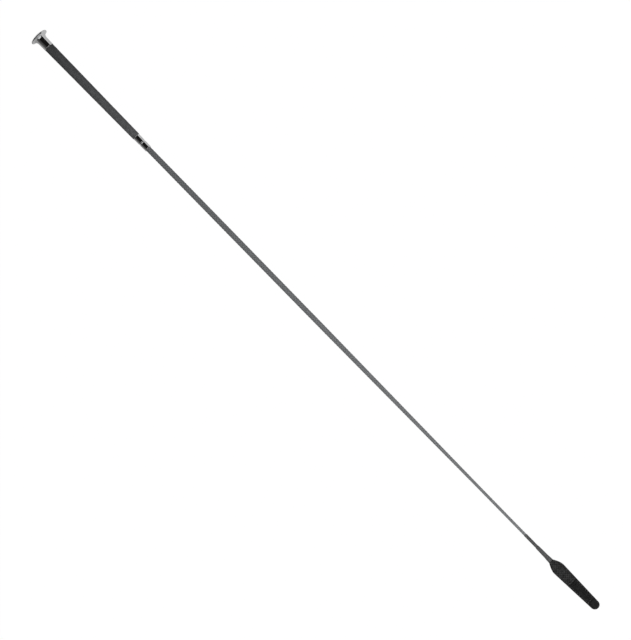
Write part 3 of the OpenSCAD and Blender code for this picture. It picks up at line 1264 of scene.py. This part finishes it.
@dataclass
class Whipping(SubAssembly):
    """Two layers of waxed thread, the second swelling sideways to the popper's root."""

    wrap_at: float = 957.3
    whipping_at: float = 980.6
    end: float = 1008.0
    tip_r: float = 1.95
    wrap_t: float = 0.4
    whipping_t: float = 0.8
    swell_at: float = 0.65
    swell_rise: float = 0.35
    root_r: float = 3.75
    neck_half: float = 2.8
    pitch: float = 0.9
    thread_t: float = 0.5
    base_r: float = 3.0
    core_step: float = 0.3
    core_short: float = 0.2
    core_rows: int = 24
    around: int = 48

    def outer(self, x: np.ndarray) -> np.ndarray:
        """The second layer's outer half width at a distance from the top of the cap.

        Args:
            x: The distances.

        Returns:
            The half width at each of them.
        """
        start = self.tip_r + self.whipping_t
        length = self.end - self.whipping_at
        places = (self.whipping_at, self.whipping_at + length * self.swell_at, self.end)
        return np.interp(x, places, (start, start + self.swell_rise, self.root_r))

    def swell(self, piece: bpy.types.Object, radius: float) -> None:
        """Swells a straight piece of that radius out to the second layer's own shape.

        Args:
            piece: The piece to swell.
            radius: The radius that it was made at.
        """
        points = Bench.points(piece)
        x, y, z = points.T
        reach = np.hypot(y, z)
        keep = np.where(reach > MERGE, reach - radius, 0)
        angle = np.arctan2(z, y)
        outer = self.outer(x)
        flat = np.minimum(outer, self.neck_half)
        scale = np.where(reach > MERGE, 1.0, 0.0)
        Bench.move(piece, np.column_stack(
            (x, np.cos(angle) * (outer + keep) * scale, np.sin(angle) * (flat + keep) * scale)))

    def build(self) -> None:
        """Makes both layers of thread and the smooth binding under them."""
        middle = self.tip_r + self.wrap_t - self.thread_t / 2
        wrap = Bench.wound("tip_wrap_thread", self.wrap_at, self.whipping_at - self.wrap_at,
                           middle, self.pitch, self.thread_t)
        self.settle(wrap, BINDING, Body.ROD, "tip_wrap")
        length = self.end - self.whipping_at
        whipping = Bench.wound("neck_whipping_thread", self.whipping_at, length,
                               self.base_r - self.thread_t / 2, self.pitch, self.thread_t)
        self.swell(whipping, self.base_r)
        self.settle(whipping, BINDING, Body.ROD, "neck_whipping")
        rows = [self.whipping_at + self.core_short
                + (length - 2 * self.core_short) * i / self.core_rows
                for i in range(self.core_rows + 1)]
        under = self.base_r - self.core_step
        core = Bench.turned("neck_binding_core", [
            (rows[0], 0), *((x, under) for x in rows), (rows[-1], 0)], self.around)
        self.swell(core, self.base_r)
        self.settle(core, BINDING, Body.ROD)
        start = self.wrap_at + self.core_short
        sleeve = Bench.turned("tip_binding_core", [
            (start, 0), (start, middle), (self.whipping_at, middle), (self.whipping_at, 0)],
            self.around)
        self.settle(sleeve, BINDING, Body.ROD)


@dataclass
class Popper(SubAssembly):
    """The flat popper: woven faces on a middle strip, a braided cover and its stitching."""

    length: float = 89.7
    width: float = 18.2
    root_w: float = 7.5
    shoulder_len: float = 14.2
    shoulder_lead: float = 1.6
    nose_r: float = 6.6
    core_half: float = 0.4
    face_half: float = 1.6
    cover_half: float = 2.0
    cover_wall: float = 0.38
    cover_len: float = 39.3
    cover_end_r: float = 14.0
    hem_w: float = 2.0
    hem_rise: float = 0.22
    face_from: float = 9.0
    tuck: float = 6.0
    bend_start: float = -2.2
    bend_end: float = 6.2
    core_inset: float = 1.0
    edge_inset: float = 1.8
    row_start: float = 3.0
    nose_row: float = 15.4
    hole_row: float = 61.7
    seam_inset: float = 1.3
    stitch_pitch: float = 2.0
    thread_d: float = 0.55
    face_relief: float = 0.13
    cover_relief: float = 0.36
    drift: float = 1.4
    selvedge_in: float = 0.7
    selvedge_w: float = 0.5
    selvedge_rise: float = 0.1
    selvedge_calm: float = 0.6
    selvedge_shine: float = 0.5
    arcs: tuple[float, float] = (1.5, 4.5)
    arc_w: float = 0.35
    arc_depth: float = 0.22
    hole_r: float = 0.4
    hole_depth: float = 0.25
    edge_fade: float = 0.8
    face_round: float = 1.0
    core_round: float = 0.3
    core_share: float = 0.88
    tuck_narrower: float = 0.12
    hem_power: int = 4
    hem_calm: float = 0.75
    hem_shine: float = 0.7
    seam_gap: float = 0.2
    seam_w: float = 0.35
    seam_depth: float = 0.15
    cover_fade: float = 1.2
    cover_round: float = 2.2
    stitch_rise: float = 0.08
    face_grid: tuple[int, int] = (250, 76)
    core_grid: tuple[int, int] = (160, 24)
    cover_grid: tuple[int, int] = (150, 64)

    def settle(self, piece: bpy.types.Object, finish: Finish, body: Body | None,
               *nodes: str) -> bpy.types.Object:
        """Lets the soft piece lie a little to one side, and settles it like any other.

        Args:
            piece: The piece, still on the bench.
            finish: Its finish, which is named after its slot in the record.
            body: The body that it rides on, or None where it lies across the bend and rides on neither.
            nodes: The frame's nodes that it stands for.

        Returns:
            The same piece.
        """
        points = Bench.points(piece)
        share = (points[:, 0] - self.bend_start) / (self.length - self.bend_start)
        points[:, 1] += self.drift * np.clip(share, 0, None)
        Bench.move(piece, points)
        return super().settle(piece, finish, body, *nodes)

    @property
    def nose_x(self) -> float:
        """Where the round nose has its centre."""
        return self.length - self.nose_r

    def half_width(self, x: np.ndarray) -> np.ndarray:
        """The popper's half width at a distance from its bend line.

        Args:
            x: The distances.

        Returns:
            The half width at each of them.
        """
        root, full = self.root_w / 2, self.width / 2
        share = np.clip((x + self.shoulder_lead) / (self.shoulder_len + self.shoulder_lead), 0, 1)
        shoulder = root + (full - root) * np.sin(math.pi / 2 * share)
        taper = full + (self.nose_r - full) * (x - self.shoulder_len) / (
            self.nose_x - self.shoulder_len)
        nose = np.sqrt(np.clip(self.nose_r ** 2 - np.clip(x - self.nose_x, 0, None) ** 2, 0, None))
        return np.where(x < self.shoulder_len, shoulder, np.where(x < self.nose_x, taper, nose))

    def weave(self, x: np.ndarray, y: np.ndarray, pitch: float,
              turn: float) -> tuple[np.ndarray, np.ndarray]:
        """A plain weave's height from 0 to 1, and 1 where the yarns along it are on top.

        Args:
            x: Places along the panel.
            y: Places across it.
            pitch: Width of a yarn.
            turn: How far the yarns are turned on the panel, in radians.

        Returns:
            The height, and which yarn is on top.
        """
        a = (x * math.cos(turn) + y * math.sin(turn)) / pitch
        b = (y * math.cos(turn) - x * math.sin(turn)) / pitch
        over = ((np.floor(a) + np.floor(b)) % 2 == 0).astype(float)
        fa, fb = a - np.floor(a), b - np.floor(b)
        across, along = np.where(over > 0, fb, fa), np.where(over > 0, fa, fb)
        crown = np.sqrt(np.clip(1 - (2 * across - 1) ** 2, 0, 1))
        fullness = 0.4
        return crown * np.sin(math.pi * along) ** fullness, over

    def panel(self, name: str, size: tuple[int, int], shape: Callable[..., tuple],
              open_ends: bool = False) -> bpy.types.Object:
        """A panel in two halves that meet at its edges.

        Args:
            name: The piece's name.
            size: How many faces it has along and across.
            shape: Gives the x, y, upper z, lower z, relief and top yarn from a grid's two
                coordinates, which go from 0 to 1 along and -1 to 1 across.
            open_ends: Whether its two ends stay open, as on a sleeve.

        Returns:
            The panel, closed unless its ends are open.
        """
        piece = Bench.grid(name, *size)
        flat = Bench.points(piece) * MM  # the grid's own places, from -1 to 1
        x, y, upper, lower, relief, over = shape((flat[:, 0] + 1) / 2, flat[:, 1])
        count = len(x)
        Bench.flat_map(piece, np.column_stack((x, y, x)))
        # The relief mark carries the painted shade and painted highlight that the weave finish reads.
        Bench.mark(piece, "relief", relief)
        Bench.mark(piece, "over", over)
        Bench.edit(piece)
        bpy.ops.mesh.duplicate()
        bpy.ops.mesh.flip_normals()
        bpy.ops.object.mode_set(mode="OBJECT")
        points = np.empty((2 * count, 3))
        points[:count] = np.column_stack((x, y, upper))
        points[count:] = np.column_stack((x, y, lower))
        Bench.move(piece, points)
        Bench.close(piece, fill=not open_ends)
        return piece

    @staticmethod
    def rounded(distance: np.ndarray, reach: float) -> np.ndarray:
        """An edge's rounding: 0 at the edge, and 1 from some way in."""
        return np.sqrt(np.clip(1 - (1 - np.clip(distance / reach, 0, 1)) ** 2, 0, 1))

    @staticmethod
    def crowded(v: np.ndarray) -> np.ndarray:
        """Places across a panel, closer together near its edges."""
        widest = math.radians(80)
        return np.sin(v * widest) / math.sin(widest)

    def along(self, u: np.ndarray, start: float) -> np.ndarray:
        """Places from a start to the nose, closer together round the nose.

        Args:
            u: Shares of the way, from 0 to 1.
            start: Where the panel starts.

        Returns:
            The distances from the bend line.
        """
        straight = 0.9
        curve = (u - straight) / (1 - straight)
        round_nose = self.nose_x + self.nose_r * np.sin(np.clip(curve, 0, 1) * math.pi / 2)
        return np.where(u < straight, start + (self.nose_x - start) * u / straight, round_nose)

    def edge(self, x: np.ndarray, y: np.ndarray, start: float) -> np.ndarray:
        """How far a place is from the popper's edge, or from where the panel starts.

        Args:
            x: Places along the popper.
            y: Places across it.
            start: Where the panel starts.

        Returns:
            The distances, and 0 at the edge.
        """
        slope = (self.width / 2 - self.nose_r) / (self.nose_x - self.shoulder_len)
        side = (self.half_width(x) - np.abs(y)) * math.cos(math.atan(slope))
        nose = self.nose_r - np.hypot(x - self.nose_x, y)
        return np.clip(np.minimum(np.where(x > self.nose_x, nose, side), x - start), 0, None)

    def face(self, name: str, way: int) -> bpy.types.Object:
        """One woven face, with its selvedge, two pressed arcs and a row of needle holes.

        Args:
            name: The piece's name.
            way: 1 for the upper face and -1 for the lower one.

        Returns:
            The face.
        """
        def shape(u: np.ndarray, v: np.ndarray) -> tuple:
            """The face's places, heights and yarns from a grid's two coordinates."""
            x = self.along(u, self.face_from)
            y = self.crowded(v) * self.half_width(x)
            edge = self.edge(x, y, self.face_from)
            relief, over = self.weave(x, y, FACE_PITCH, turn=0)
            selvedge = np.exp(-((edge - self.selvedge_in) / self.selvedge_w) ** 2)
            from_arc = np.hypot(x - self.cover_len + self.cover_end_r, y) - self.cover_end_r
            pressed = sum(np.exp(-((from_arc - at) / self.arc_w) ** 2) for at in self.arcs)
            half_pitch = self.stitch_pitch / 2
            near = np.abs((y + half_pitch) % self.stitch_pitch - half_pitch)
            inside = np.abs(y) < self.half_width(x) - self.edge_inset
            holes = np.exp(-(np.hypot(x - self.hole_row, near) / self.hole_r) ** 2) * inside
            fade = np.clip(edge / self.edge_fade, 0, 1)
            height = self.face_relief * relief * fade * (1 - self.selvedge_calm * selvedge)
            height = (height + self.selvedge_rise * selvedge - self.arc_depth * pressed
                      - self.hole_depth * holes)
            bulge = self.rounded(edge, self.face_round)
            middle = (self.core_half + self.face_half) / 2
            half = (self.face_half - self.core_half) / 2
            outer = middle + (half - self.face_relief / 2 + height) * bulge
            inner = middle - half * bulge
            # The colour mark: painted shade between the yarns, in the pressed arcs and in the needle holes, and a
            # painted highlight along the selvedge.
            crown = np.clip(
                relief * (1 - pressed) * (1 - holes) + self.selvedge_shine * selvedge, 0, 1)
            upper, lower = (outer, inner) if way > 0 else (-inner, -outer)
            return x, y, upper, lower, crown, over

        piece = self.panel(name, self.face_grid, shape)
        Bench.smooth(piece, degrees=60)
        return piece

    def core(self) -> bpy.types.Object:
        """The middle strip, which runs on unbroken into the tails under the whipping.

        Returns:
            The strip.
        """
        def shape(u: np.ndarray, v: np.ndarray) -> tuple:
            """The strip's places, heights and yarns from a grid's two coordinates."""
            x = self.along(u, -self.tuck)
            y = self.crowded(v) * np.clip(self.half_width(x) - self.core_inset, 0, None)
            edge = np.clip(self.edge(x, y, -self.tuck) - self.core_inset, 0, None)
            edge = np.where(np.abs(v) > 1 - MERGE, 0, edge)
            edge = np.where((u < MERGE) | (u > 1 - MERGE), 0, edge)
            height = self.core_half * self.rounded(edge, self.core_round)
            relief, over = self.weave(x, y, FACE_PITCH, turn=0)
            # The weave's height is also the colour mark for painted shade between the yarns.
            return x, y, height, -height, relief, over

        piece = self.panel("popper_middle_strip", self.core_grid, shape)
        Bench.smooth(piece, degrees=60)
        return piece

    def cover(self) -> bpy.types.Object:
        """The braided cover: a sleeve round the root half, with a rounded hem at its end.

        Returns:
            The cover.
        """
        start, least_fade = -self.tuck, 0.15

        def shape(u: np.ndarray, v: np.ndarray) -> tuple:
            """The cover's places, heights and yarns from a grid's two coordinates."""
            spread = self.crowded(v)
            end_half = float(self.half_width(np.array(self.cover_len)))
            end = self.cover_len - self.cover_end_r + np.sqrt(
                self.cover_end_r ** 2 - (spread * end_half) ** 2)
            x = start + (end - start) * u
            tucked = 1 - self.tuck_narrower * np.clip(-x / self.tuck, 0, 1)
            half = self.half_width(x) * tucked
            y = spread * half
            edge = half - np.abs(y)
            relief, over = self.weave(x, y, COVER_PITCH, BRAID_TURN)
            hem = np.clip(1 - ((end - x) / self.hem_w) ** self.hem_power, 0, 1)
            groove = np.exp(-(((end - x) - self.hem_w - self.seam_gap) / self.seam_w) ** 2)
            fade = np.clip(edge / self.cover_fade, least_fade, 1) * (1 - self.hem_calm * hem)
            height = self.cover_relief * (relief - 0.5) * fade
            height = height + self.hem_rise * hem - self.seam_depth * groove
            body = self.cover_half * self.rounded(edge, self.cover_round)
            upper = body + height * np.clip(edge / self.edge_fade, 0, 1)
            upper = np.where(np.abs(v) > 1 - MERGE, 0, upper)
            # The colour mark: painted shade between the yarns and in the groove by the hem, and a painted
            # highlight along the hem.
            crown = np.clip(relief * (1 - groove) + self.hem_shine * hem, 0, 1)
            return x, y, upper, -upper, crown, over

        piece = self.panel("popper_braided_cover", self.cover_grid, shape, open_ends=True)
        Bench.modifier(piece, "SOLIDIFY", thickness=self.cover_wall * MM, offset=-1)
        Bench.smooth(piece, degrees=60)
        return piece

    def stitches(self, name: str, path: Sequence[Station], height: float) -> bpy.types.Object:
        """A running stitch: one stitch is modelled, and the others are copied along a path.

        Args:
            name: The piece's name.
            path: The needle holes, in order.
            height: How far the popper's surface is from its middle.

        Returns:
            All the stitches as one piece.
        """
        blunt, reach, belly, dip, late = 0.7, 0.58, 0.15, 0.32, 2.5
        Bench.clear()
        bpy.ops.mesh.primitive_uv_sphere_add(segments=10, ring_count=8,
                                             radius=self.thread_d / 2 * MM)
        first = Bench.started("stitch")
        points = Bench.points(first)
        share = points[:, 0] / (self.thread_d / 2)
        points[:, 0] = np.sign(share) * np.abs(share) ** blunt * self.stitch_pitch * reach
        points[:, 1:] *= 1 + belly * (1 - np.abs(share[:, None]))
        points[:, 2] -= dip * np.abs(share) ** late
        Bench.move(first, points)
        Bench.smooth(first, degrees=80)
        made = []
        for index, ((x0, y0), (x1, y1)) in enumerate(zip(path, path[1:])):
            side = 1 if index % 2 == 0 else -1
            turn = Matrix.Rotation(math.atan2(y1 - y0, x1 - x0), 4, "Z")
            flip = Matrix.Rotation(0 if side > 0 else math.pi, 4, "X")
            middle = Vector(((x0 + x1) / 2, (y0 + y1) / 2, side * height)) * MM
            made.append(Bench.copy(first, Matrix.Translation(middle) @ turn @ flip))
        bpy.data.objects.remove(first)
        return Bench.joined(name, made)

    def edge_path(self) -> list[Station]:
        """The needle holes down one side, across near the nose and back up the other side.

        Returns:
            The holes in order.
        """
        x0, x1 = self.cover_len + self.row_start, self.length - self.nose_row
        steps = round((x1 - x0) / self.stitch_pitch)
        places = [x0 + (x1 - x0) * i / steps for i in range(steps + 1)]
        side = [(x, float(self.half_width(np.array(x))) - self.edge_inset) for x in places]
        half = side[-1][1]
        across = round(2 * half / self.stitch_pitch)
        row = [(x1, half - 2 * half * i / across) for i in range(1, across)]
        return side + row + [(x, -y) for x, y in reversed(side)]

    def cover_path(self) -> list[Station]:
        """The needle holes that follow the cover's rounded end.

        Returns:
            The holes in order.
        """
        radius = self.cover_end_r - self.seam_inset
        half = float(self.half_width(np.array(self.cover_len))) - self.edge_inset
        span = math.asin(half / radius)
        count = 2 * round(radius * span / self.stitch_pitch)
        middle = self.cover_len - self.cover_end_r
        angles = [span - 2 * span * i / count for i in range(count + 1)]
        return [(middle + radius * math.cos(a), radius * math.sin(a)) for a in angles]

    def flat_area(self, start: float, end: float) -> float:
        """The area of the popper's outline between two places, in square metres."""
        x = np.linspace(start, end, num=400)
        return float(np.trapz(2 * self.half_width(x), x)) * MM * MM

    def build(self) -> None:
        bend = (self.line.point(self.bend_start), self.line.point(self.bend_end))
        upper = self.settle(self.face("popper_face_upper", 1), FACE_WEAVE, Body.POPPER,
                            "popper_upper_face")
        lower = self.settle(self.face("popper_face_lower", -1), FACE_WEAVE, Body.POPPER,
                            "popper_lower_face")
        core = self.settle(self.core(), FACE_WEAVE, None, "popper_core")
        cover = self.settle(self.cover(), COVER_WEAVE, None, "popper_base_cover")
        for piece in (core, cover):
            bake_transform(piece)
        edge = self.stitches("popper_edge_stitches", self.edge_path(),
                             self.face_half + self.stitch_rise)
        self.settle(edge, STITCHING, Body.POPPER, "edge_stitches")
        seam = self.stitches("popper_cover_stitches", self.cover_path(),
                             self.cover_half + self.hem_rise)
        self.settle(seam, STITCHING, Body.POPPER, "cover_stitches")
        area = self.flat_area(self.face_from, self.length)
        self.flat_area(-self.tuck, self.length) * self.core_share
        2 * self.flat_area(-self.tuck, self.cover_len)


@dataclass
class Insides(SubAssembly):
    """The pieces inside the handle and under the thread, which the frame already has."""

    finishes: Mapping[str, Finish] = field(default_factory=lambda: {
        "cap_stud": STEEL, "cap_plug": WOOD, "handle_former": PLASTIC, "core_rod": GLASS_FIBRE,
        "popper_tails": FACE_WEAVE})

    def build(self) -> None:
        """Dresses each piece."""
        for node, finish in self.finishes.items():
            finish.dress(frame["nodes"][node])
            log.info("%s: from the frame", node)


# ---- the studio -------------------------------------------------------------


@dataclass
class Panel:
    """A soft light: a flat panel that faces the middle of the whip.

    Args:
        name: The light's name.
        place: Where it is, in metres.
        size: Its length along the whip and its height.
        glow: How bright its face is, where 1 shows as white.
        rays: What it reaches.
    """

    name: str
    place: tuple[float, float, float]
    size: tuple[float, float]
    glow: float
    rays: Rays

    def build(self) -> None:
        """Makes the light."""
        lamp = bpy.data.lights.new(self.name, "AREA")
        lamp.shape = "RECTANGLE"
        lamp.size, lamp.size_y = self.size
        lamp.energy = self.glow * math.pi * self.size[0] * self.size[1]
        holder = bpy.data.objects.new(self.name, lamp)
        holder.location = self.place
        holder.rotation_euler = Vector(self.place).to_track_quat("Z", "Y").to_euler()
        holder.visible_glossy = self.rays is Rays.GLOSS
        holder.visible_diffuse = self.rays is Rays.MATT
        bpy.context.scene.collection.objects.link(holder)


@dataclass
class Studio:
    """The pale floor, the soft lights and the camera above the whip."""

    distance: float = 2.2
    lens: float = 89.9
    turn_degrees: float = 45.68
    aim: tuple[float, float] = (-0.0050, 0.00007)
    floor_size: float = 24.0
    paper: float = 0.3
    paper_glow: float = 1.03
    paper_share: float = 0.965
    mirror_glow: float = 0.62
    dull_side: float = 0.2
    side_at: float = -0.022
    side_run: float = 0.012
    side_rise: float = 0.65
    cap_at: float = -0.555
    cap_run: float = 0.02
    cap_fall: float = 0.6
    room_glow: float = 0.3
    room_gloss: float = 0.009
    backdrop: float = 1.0
    lights: Sequence[Panel] = (
        Panel("softbox_far", (0, 1.2, 1.3), (3.2, 1.2), 1.7, Rays.MATT),
        Panel("softbox_near", (0, -1.2, 1.3), (3.2, 1.2), 1.7, Rays.MATT),
        Panel("card_far", (0, 1.5, 0.42), (3.6, 0.8), 0.6, Rays.GLOSS),
        Panel("card_near_high", (0, -1.25, 1.25), (3.6, 0.75), 0.055, Rays.GLOSS),
        Panel("card_near_low", (0, -1.7, 0.5), (3.6, 0.8), 0.11, Rays.GLOSS),
        Panel("card_head", (-2.2, 0, 1.1), (2.4, 2.2), 0.75, Rays.GLOSS),
        Panel("card_foot", (2.2, 0, 1.2), (2.4, 2.4), 0.7, Rays.GLOSS),
    )

    def sheen(self, board: Board) -> Signal:
        """How bright a mirror sees the floor: duller towards -Y, and beyond the cap.

        Args:
            board: The floor's nodes.

        Returns:
            The brightness, from 0 to 1.
        """
        place = board.place()
        x, y = board.part(place, "X"), board.part(place, "Y")
        near = ((y - self.side_at) / self.side_run).held()
        beyond = ((self.cap_at - x) / self.cap_run).held()
        return (near * self.side_rise + self.dull_side) * (1 - beyond * self.cap_fall)

    def floor(self) -> None:
        """A pale floor, laid flat under the whip, that bounces less light than it shows."""
        Bench.clear()
        bpy.ops.mesh.primitive_grid_add(x_subdivisions=8, y_subdivisions=8, size=self.floor_size)
        floor = Bench.started("floor")
        board = Board("floor_paper")
        tone = (self.paper, self.paper, self.paper, 1)
        paper = board.node("ShaderNodeBsdfDiffuse", None, {"Color": tone})
        for ray, glow, share in (("Is Glossy Ray", self.mirror_glow, self.sheen(board)),
                                 ("Is Camera Ray", self.paper_glow, self.paper_share)):
            seen = board.node("ShaderNodeLightPath", out=ray)
            light = board.node("ShaderNodeEmission", None, {"Strength": glow})
            paper = board.node("ShaderNodeMixShader", None, {0: seen * share, 1: paper, 2: light})
        board.node("ShaderNodeOutputMaterial", None, {"Surface": paper})
        floor.data.materials.append(board.material)

    def world(self) -> None:
        """White all round for the camera, and a dim room for everything else."""
        world = bpy.data.worlds.new("studio")
        world.use_nodes = True
        nodes, links = world.node_tree.nodes, world.node_tree.links
        nodes.clear()
        path = nodes.new("ShaderNodeLightPath")
        shown = None
        for level, ray in ((self.room_glow, None), (self.room_gloss, "Is Glossy Ray"),
                           (self.backdrop, "Is Camera Ray")):
            wall = nodes.new("ShaderNodeBackground")
            wall.inputs["Color"].default_value = (level, level, level, 1)
            if ray is None:
                shown = wall
                continue
            mixed = nodes.new("ShaderNodeMixShader")
            links.new(path.outputs[ray], mixed.inputs[0])
            links.new(shown.outputs[0], mixed.inputs[1])
            links.new(wall.outputs[0], mixed.inputs[2])
            shown = mixed
        out = nodes.new("ShaderNodeOutputWorld")
        links.new(shown.outputs[0], out.inputs["Surface"])
        bpy.context.scene.world = world

    def camera(self) -> None:
        """A camera straight above the whip, turned so that the whip lies on the slant."""
        lens = bpy.data.cameras.new("camera")
        lens.lens = self.lens
        camera = bpy.data.objects.new("camera", lens)
        camera.location = (*self.aim, self.distance)
        camera.rotation_euler = (0, 0, math.radians(self.turn_degrees))
        bpy.context.scene.collection.objects.link(camera)
        bpy.context.scene.camera = camera

    def build(self) -> None:
        """Sets the studio up."""
        self.floor()
        self.world()
        self.camera()
        for light in self.lights:
            light.build()
        bpy.context.scene.view_settings.view_transform = "Standard"


def main() -> None:
    """Builds the whip piece by piece, and then the studio."""
    logging.basicConfig(level=logging.INFO, format="%(message)s")
    rod = rod_line()
    popper = popper_line(Popper.length, Popper.face_half)
    for part in (Cap(rod), Handle(rod), Shaft(rod), Whipping(rod), Popper(popper),
                 Insides(rod)):
        log.info("building %s", type(part).__name__)
        part.build()
    Studio().build()
    Bench.clear()


if __name__ == "__main__":
    main()
